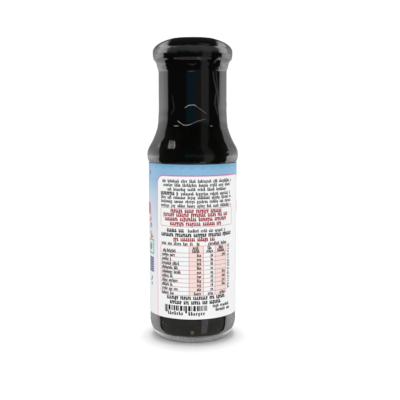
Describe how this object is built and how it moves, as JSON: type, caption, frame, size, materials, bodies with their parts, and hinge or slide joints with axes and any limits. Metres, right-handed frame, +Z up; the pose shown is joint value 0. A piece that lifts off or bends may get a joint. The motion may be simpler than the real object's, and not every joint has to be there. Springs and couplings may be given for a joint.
{
  "type": "bottle of cooking sauce",
  "caption": "Tall round glass bottle of dark cooking sauce with a twist-off cap, a black shrink sleeve over cap and neck, and a wrap-around paper label.",
  "frame": {"origin": "on the bottle's axis, at the height of the foot it stands on", "axes": "+Z up along the bottle's axis to the cap; -Y faces the camera of the picture, towards the printed back panel of the label"},
  "size_m": [0.0478, 0.0478, 0.1562],
  "materials": {
    "clear_glass": "polished, with a knurled foot",
    "dark_sauce": "wet, almost black, with small pieces of seed and spice",
    "lacquered_tinplate": "black satin lacquer",
    "shrink_film": "glossy black film with shrink wrinkles",
    "printed_paper": "coated paper, printed"
  },
  "bodies": {
    "root": {"bottle": "clear_glass", "sauce": "dark_sauce", "cap": "lacquered_tinplate", "neck_sleeve": "shrink_film", "label": "printed_paper"}
  },
  "joints": []
}
